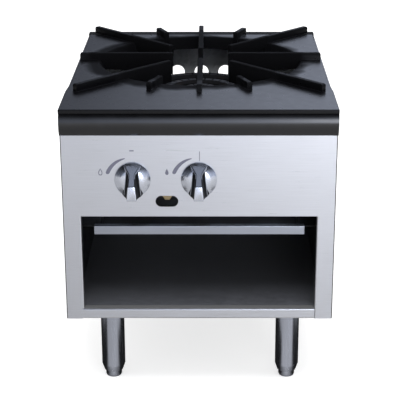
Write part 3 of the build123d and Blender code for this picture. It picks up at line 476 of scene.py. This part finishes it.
class DetailSettings(bpy.types.PropertyGroup):
    """Sizes of the fine pieces"""
    skirt_r: length("Knob skirt", "Radius of a knob's round skirt", 30.0)
    grip_reach: length("Grip reach", "Face of a knob's grip ahead of the panel", 38.5)
    arc_r: length("Arc radius", "Radius of the printed arc about its knob", 43.0)
    arc_width: length("Arc width", "Width of the printed arc at its strong end", 6.4)
    icon_height: length("Icon height", "Height of the printed flame", 11.0)
    thread_pitch: length("Thread pitch", "Pitch of the inlet's pipe thread, 14 to the inch", 1.814)
    weld_leg: length("Weld", "Leg length of the weld round each leg's top", 3.0)


class StageSettings(bpy.types.PropertyGroup):
    """Camera and lights"""
    lens: bpy.props.FloatProperty(
        name="Lens", description="Focal length on a 36 mm sensor, in mm", default=114.4
    )
    camera_place: bpy.props.FloatVectorProperty(
        name="Camera", description="Place of the camera", default=(0.0219, -2.26375, 1.1036),
        unit="LENGTH",
    )
    pitch: bpy.props.FloatProperty(
        name="Pitch", description="How far the camera looks down", default=radians(19.721),
        unit="ROTATION",
    )
    shift: bpy.props.FloatVectorProperty(
        name="Shift", description="Camera shift in frame widths", default=(-0.0304, -0.03), size=2
    )
    room: bpy.props.FloatProperty(
        name="Room", description="Strength of the light from all around", default=0.75
    )
    key_watts: bpy.props.FloatProperty(
        name="Key", description="Power of the soft lamp at the front right", default=8.0,
        unit="POWER",
    )
    top_watts: bpy.props.FloatProperty(
        name="Top", description="Power of the soft lamp high up in front", default=20.0,
        unit="POWER",
    )


# ---------------------------------------------------------------- operators
class RANGE_OT_stage(bpy.types.Operator):
    """Sets up the camera, the pale floor, the room and its soft lamps"""
    bl_idname = "range.stage"
    bl_label = "Stage"

    def execute(self, context):
        settings = context.scene.range_stage
        data = bpy.data.cameras.new("camera")
        data.sensor_width = 36.0
        data.lens = settings.lens
        data.shift_x, data.shift_y = settings.shift
        data.clip_end = 50.0
        camera = bpy.data.objects.new("camera", data)
        camera.location = settings.camera_place
        camera.rotation_euler = (pi / 2 - settings.pitch, 0, 0)
        context.scene.collection.objects.link(camera)
        context.scene.camera = camera
        self.room(context, settings)
        self.floor(context)
        self.lamp(context, "key_lamp", settings.key_watts, (0.75, -2.5, 0.75))
        top = self.lamp(context, "top_lamp", settings.top_watts, (0.1, -0.75, 1.75))
        top.visible_glossy = False  # it fills shadows, and no polished surface shows it
        return {"FINISHED"}

    def room(self, context, settings):
        """White for the camera. Polished surfaces see a blue-grey horizon that brightens to the
        right, dark walls at the sides and a dim lamp overhead."""
        world = bpy.data.worlds.new("room")
        context.scene.world = world
        world.use_nodes = True
        tree = world.node_tree
        tree.nodes.clear()
        path = add_node(tree, "ShaderNodeLightPath").outputs
        mirror = combine(tree, "MAXIMUM", path["Is Glossy Ray"], path["Is Transmission Ray"])
        way = add_node(tree, "ShaderNodeTexCoord").outputs["Generated"]
        x, y, z = split(tree, way)
        # a bright strip on the horizon in front, and one higher up behind the range
        ahead = spread(tree, z, 0.13, 0.46, 2.2, 0.06)
        behind = combine(tree, "MINIMUM", spread(tree, z, 0.2, 0.4, 0.2, 1.8),
                         spread(tree, z, 0.55, 0.85, 1.8, 0.06))
        strips = add_node(
            tree, "ShaderNodeMix", {0: spread(tree, y, -0.3, 0.3, 0, 1), 2: ahead, 3: behind}
        ).outputs[0]
        across = spread(tree, x, -0.10, 0.07, 0.45, 2.1)
        sides = spread(tree, size_of(tree, x), 0.25, 0.8, 1.0, 0.15)
        overhead = spread(tree, z, 0.86, 0.97, 0.0, 0.35)
        seen = combine(tree, "MULTIPLY", combine(tree, "MULTIPLY", strips, across), sides)
        seen = combine(tree, "MAXIMUM", seen, overhead)
        lit = add_node(tree, "ShaderNodeMix", {0: mirror, 2: settings.room, 3: seen}).outputs[0]
        strength = combine(tree, "MAXIMUM", lit, path["Is Camera Ray"])
        tint = blend(tree, mirror, colour("FFFFFF"), colour("D8E1F6"))
        light = add_node(tree, "ShaderNodeBackground", {"Color": tint, "Strength": strength})
        add_node(tree, "ShaderNodeOutputWorld", {"Surface": light.outputs[0]})

    def floor(self, context):
        """A pale sheet of paper that the range stands on: it keeps the shadow, and is white
        beyond it. Polished surfaces see a painted glow on it instead, with painted shadow and
        painted light."""
        half = 6.0
        corners = [(-half, -half, 0), (half, -half, 0), (half, half, 0), (-half, half, 0)]
        mesh = bpy.data.meshes.new("floor")
        mesh.from_pydata(corners, [], [(0, 1, 2, 3)])
        floor = bpy.data.objects.new("floor", mesh)
        context.scene.collection.objects.link(floor)
        material, tree, shader = new_material(
            "paper_white", **{"Roughness": 0.9, "IOR": 1.3, "Emission Color": (1, 1, 1, 1)}
        )
        fibres = grain(tree, (40,) * 3)
        tree.links.new(
            blend(tree, fibres, colour("F2F2F2"), colour("F8F8F8")), shader.inputs["Base Color"]
        )
        path = add_node(tree, "ShaderNodeLightPath").outputs
        glow = combine(tree, "MULTIPLY", path["Is Camera Ray"], 0.6)
        tree.links.new(glow, shader.inputs["Emission Strength"])
        # what polished metal sees of it is a painted glow: painted light, brighter to the right and
        # far off, and a painted shadow under the range, where a painted bright wedge opens outward
        # from each leg
        x, y, _ = split(tree, place_m(tree))
        across = spread(tree, x, -0.3, 0.35, 0.74, 0.90)
        away = spread(tree, y, -3.0, -0.6, 1.32, 0.72)
        from_middle = size_of(tree, x)
        from_leg = size_of(tree, combine(tree, "SUBTRACT", from_middle, LEG_X))
        halfway = size_of(tree, combine(tree, "SUBTRACT", y, LEG_Y))
        outside = combine(tree, "SUBTRACT", halfway, LEG_REACH - 30 * MM)
        wedge = combine(tree, "SUBTRACT", outside, combine(tree, "MULTIPLY", from_leg, 0.75))
        # painted shadow under the range, opened by a painted bright wedge at each leg and beyond
        # the sides
        clear = combine(tree, "MAXIMUM", spread(tree, wedge, 0.0, 0.04, 0.03, 1.0),
                        spread(tree, from_middle, 0.38, 0.55, 0.0, 1.0))
        strength = combine(tree, "MULTIPLY", combine(tree, "MULTIPLY", across, away), clear)
        seen = add_node(
            tree, "ShaderNodeEmission", {"Color": colour("FCFCFF"), "Strength": strength}
        ).outputs[0]
        both = add_node(
            tree, "ShaderNodeMixShader", {0: path["Is Glossy Ray"], 1: shader.outputs[0], 2: seen}
        ).outputs[0]
        output = next(node for node in tree.nodes if node.type == "OUTPUT_MATERIAL")
        tree.links.new(both, output.inputs["Surface"])
        mesh.materials.append(material)

    def lamp(self, context, name, watts, where):
        """A square softbox that looks at the middle of the range."""
        data = bpy.data.lights.new(name, "AREA")
        data.energy = watts
        data.size = SOFTBOX
        lamp = bpy.data.objects.new(name, data)
        lamp.location = where
        aim = Vector((0, 0, 0.35)) - Vector(where)
        lamp.rotation_euler = aim.to_track_quat("-Z", "Y").to_euler()
        lamp.visible_camera = False
        context.scene.collection.objects.link(lamp)
        return lamp


class RANGE_OT_sheet_metal(bpy.types.Operator):
    """Finishes the folded sheets of the cabinet"""
    bl_idname = "range.sheet_metal"
    bl_label = "Sheet metal"

    def execute(self, context):
        settings = context.scene.range_finish
        finish(brushed_stainless("stainless_brushed", settings.stainless), "control_panel",
               "slot_surround", "left_stile", "right_stile")
        sill_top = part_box("bottom_rail")[1].z
        finish(brushed_stainless("stainless_scuffed", settings.stainless, sill_top - 0.5 * MM),
               "bottom_rail")
        # a darker copy of the brushed stainless: painted shade on the pull, which sits back in the
        # opening
        finish(brushed_stainless("stainless_pull_painted_shade", settings.pull), "tray_pull")
        finish(baked_paint("steel_painted_body", settings.body_paint, 0.32, 0.42),
               "left_side_panel", "right_side_panel")
        back_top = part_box("back_panel")[1].z
        finish(galvanised("steel_galvanised_back", settings.back_zinc, 0.3, back_top - 12 * MM),
               "back_panel")
        finish(baked_paint("steel_painted_inside", settings.inside_paint, 0.4, 0.55),
               "left_liner", "right_liner", "left_tray_rail", "right_tray_rail", "drip_tray",
               "tray_side_walls", "tray_end_walls")
        finish(galvanised("steel_galvanised_floor", settings.floor_zinc, 0.2), "cabinet_floor")
        finish(gloss_enamel(settings.nose), "nose_rail")
        finish(galvanised("steel_galvanised", settings.zinc),
               "left_base_channel", "right_base_channel", "front_burner_rail", "rear_burner_rail",
               "left_manifold_bracket", "right_manifold_bracket", "pilot_bracket",
               "outer_air_shutter", "inner_air_shutter")
        return {"FINISHED"}


class RANGE_OT_castings(bpy.types.Operator):
    """Finishes the top grate and the burner castings"""
    bl_idname = "range.castings"
    bl_label = "Castings"

    def execute(self, context):
        settings = context.scene.range_finish
        finish(satin_enamel(settings.enamel, settings.enamel_edge_highlight), "top_grate")
        finish(bare_casting(settings.casting), "outer_ring_burner", "inner_ring_burner")
        return {"FINISHED"}


class RANGE_OT_gas_train(bpy.types.Operator):
    """Finishes the pipes, valves and the pilot, and cuts the inlet's thread"""
    bl_idname = "range.gas_train"
    bl_label = "Gas train"

    def execute(self, context):
        settings = context.scene.range_finish
        pipe = baked_paint("pipe_black", settings.pipe, 0.45, 0.6)
        finish(pipe, "gas_manifold", "manifold_cap", "supply_elbow", "supply_pipe")
        finish(turned_metal("brass_machined", settings.brass, 0.28),
               "outer_gas_valve", "inner_gas_valve", "outer_orifice_hood", "inner_orifice_hood",
               "pilot_valve")
        finish(turned_metal("aluminium_drawn", settings.aluminium, 0.34), "pilot_tube")
        finish(turned_metal("steel_turned", settings.steel, 0.32),
               "pilot_burner", "outer_valve_stem", "inner_valve_stem")
        thread = closed_mesh("inlet_thread", [self.thread(context.scene.range_detail)])
        place("inlet_thread", thread, "cabinet", pipe)
        return {"FINISHED"}

    def thread(self, settings):
        """Triangular sections along a helix on the turned end of the supply pipe, in mm. The
        thread runs in and out over half a turn."""
        pitch = settings.thread_pitch / MM
        low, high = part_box("supply_pipe")
        centre = Vector(((low.x + high.x) / 2, high.y, (low.z + high.z) / 2))
        root, crest, half_width = 12.85, 13.32, 0.75
        lead_in = 1.6
        turns, steps, run_in = 9.4, 40, 20
        rings = []
        for i in range(int(turns * steps) + 1):
            back = -lead_in - pitch * i / steps
            angle = 2 * pi * i / steps
            out = Vector((cos(angle), 0, sin(angle)))
            rise = min(1.0, (i + 1) / run_in, (turns * steps - i + 1) / run_in)
            section = ((root, -half_width), (root + (crest - root) * rise, 0), (root, half_width))
            rings.append([centre + MM * (out * r + Vector((0, back + y, 0))) for r, y in section])
        return rings


class RANGE_OT_legs(bpy.types.Operator):
    """Finishes the legs and feet, and adds welds, bolt heads and screws"""
    bl_idname = "range.legs"
    bl_label = "Legs"

    def execute(self, context):
        finishes, sizes = context.scene.range_finish, context.scene.range_detail
        tube = plated_tube(finishes.nickel)
        zinc = turned_metal("zinc_plate", finishes.fasteners, 0.35)
        for corner in CORNERS:
            finish(tube, f"{corner}_leg", f"{corner}_foot", f"{corner}_leg_plate")
            name = f"{corner}_weld"
            fillet = self.weld(corner, sizes.weld_leg / MM)
            place(name, closed_mesh(name, [fillet], looped=True), "cabinet", tube)
        bolts = place(
            "leg_plate_bolt_heads", closed_mesh("leg_plate_bolt_heads", self.bolts()),
            "cabinet", zinc,
        )
        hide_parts("leg_plate_bolts")
        screws = place(
            "back_panel_screw_heads", closed_mesh("back_panel_screw_heads", self.screws()),
            "cabinet", zinc,
        )
        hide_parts("back_panel_screws")
        return {"FINISHED"}

    def bolts(self):
        """Four bolt heads under each leg's plate."""
        step = 33 * MM
        heads = []
        for corner in CORNERS:
            low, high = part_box(f"{corner}_leg_plate")
            middle = (low + high) / 2
            for sx in (-step, step):
                for sy in (-step, step):
                    at = Vector((middle.x + sx, middle.y + sy, low.z))
                    heads += hex_head(at, DOWN, flat=5.0, height=4.5, washer_r=7.0, washer_t=1.0)
        return heads

    def screws(self):
        """Five screw heads down each edge of the back panel."""
        column, pitch = 219.5 * MM, 80 * MM
        low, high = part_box("back_panel_screws")
        heads = []
        for x in (-column, column):
            for row in (-2, -1, 0, 1, 2):
                at = Vector((x, low.y, (low.z + high.z) / 2 + row * pitch))
                heads += hex_head(at, BACK, flat=3.5, height=4.0, washer_r=4.6, washer_t=0.9)
        return heads

    def weld(self, corner, leg_mm):
        """A rippled fillet between a leg and its plate."""
        low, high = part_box(f"{corner}_leg")
        top = Vector(((low.x + high.x) / 2, (low.y + high.y) / 2, high.z))
        tube_r = (high.x - low.x) / 2 / MM
        sunk = 0.1  # into the leg and the plate
        section = ((-sunk, sunk), (leg_mm, sunk), (leg_mm * 0.62, -leg_mm * 0.6), (0.3, -leg_mm),
                   (-sunk, -leg_mm))
        steps, ripples = 120, 20
        rings = []
        for i in range(steps):
            angle = 2 * pi * i / steps
            out = Vector((cos(angle), sin(angle), 0))
            ripple = 0.25 * abs(sin(angle * ripples))
            rings.append([
                top + MM * (out * (tube_r + r + (ripple if r > 0 else 0)) + Vector((0, 0, z)))
                for r, z in section
            ])
        return rings


class RANGE_OT_knobs(bpy.types.Operator):
    """Builds the two control knobs, each a bevelled skirt with a hollow-flanked grip"""
    bl_idname = "range.knobs"
    bl_label = "Knobs"

    def execute(self, context):
        finishes = context.scene.range_finish
        chrome = satin_chrome(finishes.chrome)
        black = matt_black(finishes.recess)
        sizes = context.scene.range_detail
        skirt_r, reach = sizes.skirt_r / MM, sizes.grip_reach / MM
        for valve in VALVES:
            x, _, z = JOINTS[f"{valve}_knob_turn"]["pos_m"]
            centre = Vector((x, PANEL_Y, z))
            # the skirt's bevelled foot, its cone and its nearly flat top
            skirt = turned(centre, FRONT, [
                (1.0, skirt_r - 1.2), (1.3, skirt_r - 0.4), (2.0, skirt_r), (3.0, skirt_r - 0.15),
                (3.6, skirt_r - 0.7), (9.0, skirt_r - 9.4), (9.7, skirt_r - 10.8),
                (10.6, skirt_r - 15), (11.5, 8.0), (11.9, 3.0), (12.0, 0.6),
            ], 96)
            name = f"{valve}_knob_fine"
            knob = self.union(name, skirt, self.grip(centre, reach, skirt_r - 0.5))
            piece = place(name, knob, f"{valve}_control", chrome, 28)
            knob.materials.append(black)
            for face in knob.polygons:
                face.material_index = self.in_recess(face, centre, reach, skirt_r)
            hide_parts(f"{valve}_knob")
        return {"FINISHED"}

    def in_recess(self, face, centre, reach, skirt_r):
        """True on the hollow flanks of the grip, which are left black."""
        away = (face.center - centre) / MM
        from_rim = skirt_r - hypot(away.x, away.z)
        skirt_out = min(3.0 + 0.62 * from_rim, 12.0)  # how far the skirt stands out there
        beside = abs(face.normal.x) > 0.4
        above_skirt = skirt_out + 0.3 < -away.y < reach - 0.9
        return away.z < 9.0 and beside and above_skirt

    def grip(self, centre, reach, limit):
        """Rings of the grip, from inside the skirt to its face. Its flanks hollow inwards."""
        levels = (2.6, 6.0, 9.0, 10.5, 12.0, 13.5, 15.5, 18.0, 21.0, 25.0, 29.0, 33.0, 36.0)
        rings = [(level, 0.0, 2.2) for level in levels]
        rings += [(reach - 0.9, 0.0, 2.0), (reach - 0.3, 0.3, 1.8), (reach, 0.9, 1.4)]
        return [self.section(centre, level, reach - level, inset, corner, limit)
                for level, inset, corner in rings]

    def section(self, centre, level, depth, inset, corner, limit):
        """The grip's outline at one depth behind its face: a trapezium with rounded corners. Its
        upper end slopes back, narrows and then flares into the skirt, and its lower end widens."""
        tip_face, tail_face, tail_end = 5.9, 8.2, -25.0  # half widths and lower end of the face
        full_depth, flare_from = 31.5, 0.62
        fall = depth / full_depth
        tip = 0.78 * depth - inset
        tip_half = tip_face - min(1.3, 1.6 * fall) + 20.0 * max(0.0, fall - flare_from) - inset
        tail = tail_end - 2.0 * fall + inset
        tail_half = tail_face + 8.2 * fall ** 2.0 - inset
        corners = [(tip_half, tip), (-tip_half, tip), (-tail_half, tail), (tail_half, tail)]
        bend_steps = 6
        ring = []
        for i, (x, z) in enumerate(corners):
            here = Vector((x, z))
            first = here + (Vector(corners[i - 1]) - here).normalized() * corner
            last = here + (Vector(corners[(i + 1) % 4]) - here).normalized() * corner
            for step in range(bend_steps + 1):
                t = step / bend_steps
                point = (1 - t) ** 2 * first + 2 * t * (1 - t) * here + t ** 2 * last
                # low down, the grip keeps within the skirt
                point *= min(1.0, limit / hypot(*point))
                ring.append(centre + MM * Vector((point.x, -level, point.y)))
        return ring

    def union(self, name, *shells):
        """One closed mesh from shells that run into each other."""
        pieces = []
        for rings in shells:
            pieces.append(bpy.data.objects.new(name, closed_mesh(name, [rings])))
            bpy.context.scene.collection.objects.link(pieces[-1])
        modifier = pieces[0].modifiers.new("union", "BOOLEAN")
        modifier.operation, modifier.solver, modifier.object = "UNION", "EXACT", pieces[1]
        graph = bpy.context.evaluated_depsgraph_get()
        result = bpy.data.meshes.new_from_object(pieces[0].evaluated_get(graph))
        for piece in pieces:
            bpy.data.objects.remove(piece)
        return result


class RANGE_OT_marks(bpy.types.Operator):
    """Prints the plain marks beside the knobs: arcs, flames and index lines"""
    bl_idname = "range.marks"
    bl_label = "Marks"

    def execute(self, context):
        ink = screen_ink(context.scene.range_finish.ink)
        sizes = context.scene.range_detail
        strokes, loops = [], []
        for valve in VALVES:
            x, _, z = JOINTS[f"{valve}_knob_turn"]["pos_m"]
            centre = Vector((x, PANEL_Y, z))
            strokes.append(self.arc(centre, sizes.arc_r / MM, sizes.arc_width / MM))
            flame = self.flame(-53.0, 13.5, sizes.icon_height / MM)
            if valve == "outer":
                # an open flame and a short dash over the knob
                loops.append(self.ribbon(centre, self.border(flame, 1.5)))
                dash = [((x, 50.0 - half), (x, 50.0 + half))
                        for x, half in ((-4.5, 0.5), (-3.9, 1.0), (2.4, 1.0), (3, 0.5))]
                strokes.append(self.ribbon(centre, dash))
            else:
                # a filled flame and an upright line over the knob
                strokes.append([[self.at(centre, p, depth) for p in flame] for depth in INK])
                line = [((1 - half, z), (1 + half, z))
                        for z, half in ((32, 0.3), (33, 0.5), (48, 0.5), (49, 0.3))]
                strokes.append(self.ribbon(centre, line))
        for name, shells, looped in (("panel_marks", strokes, False), ("panel_flame", loops, True)):
            place(name, closed_mesh(name, shells, looped), "cabinet", ink, 60)
        return {"FINISHED"}

    def at(self, centre, point, depth):
        """A point ahead of the panel, from x and z in mm beside the knob's axis."""
        return centre + MM * Vector((point[0], -depth, point[1]))

    def ribbon(self, centre, pairs):
        """Thin sections of ink, each between a pair of points."""
        low, high = INK
        return [[self.at(centre, a, low), self.at(centre, a, high), self.at(centre, b, high),
                 self.at(centre, b, low)] for a, b in pairs]

    def arc(self, centre, radius, width):
        """A printed arc that thins out clockwise, and comes a little nearer to the knob."""
        start, end, steps = 167, 108, 32
        pairs = []
        for i in range(steps + 1):
            t = i / steps
            angle = radians(start + (end - start) * t)
            half = width / 2 * (1 - 0.8 * t ** 2.2) * min(1.0, 0.45 + 12 * t)
            middle = radius * (1 - 0.107 * t)
            pairs.append([((middle + r) * cos(angle), (middle + r) * sin(angle))
                          for r in (half, -half)])
        return self.ribbon(centre, pairs)

    def flame(self, x, z, height):
        """The outline of a drop that stands on its round end."""
        outline = []
        count = 40
        for i in range(count):
            angle = 2 * pi * i / count
            width = height * 0.36 * abs(sin(angle / 2)) ** 1.4
            outline.append(Vector((x + width * sin(angle), z + height / 2 * cos(angle))))
        return outline

    def border(self, points, width):
        """Pairs of points on both sides of a closed outline."""
        middle = sum(points, Vector((0, 0))) / len(points)
        pairs = []
        for point in points:
            out = (point - middle).normalized() * width / 2
            pairs.append((point + out, point - out))
        return pairs


class RANGE_PT_panel(bpy.types.Panel):
    """Lists the steps in the sidebar"""
    bl_label = "Stock Pot Range"
    bl_idname = "RANGE_PT_panel"
    bl_space_type = "VIEW_3D"
    bl_region_type = "UI"
    bl_category = "Range"

    def draw(self, context):
        for step in STEPS:
            self.layout.operator(step.bl_idname)


STEPS = (
    RANGE_OT_stage,
    RANGE_OT_sheet_metal,
    RANGE_OT_castings,
    RANGE_OT_gas_train,
    RANGE_OT_legs,
    RANGE_OT_knobs,
    RANGE_OT_marks,
)
SETTINGS = {
    "range_finish": FinishSettings,
    "range_detail": DetailSettings,
    "range_stage": StageSettings,
}


def register():
    for cls in (*SETTINGS.values(), *STEPS, RANGE_PT_panel):
        bpy.utils.register_class(cls)
    for name, cls in SETTINGS.items():
        setattr(bpy.types.Scene, name, bpy.props.PointerProperty(type=cls))


def unregister():
    for name in SETTINGS:
        delattr(bpy.types.Scene, name)
    for cls in (RANGE_PT_panel, *reversed(STEPS), *SETTINGS.values()):
        bpy.utils.unregister_class(cls)


def main():
    """Dresses the range."""
    register()
    bpy.context.scene.view_settings.view_transform = "Standard"
    for step in STEPS:
        family, name = step.bl_idname.split(".")
        getattr(getattr(bpy.ops, family), name)()


if __name__ == "__main__":
    main()
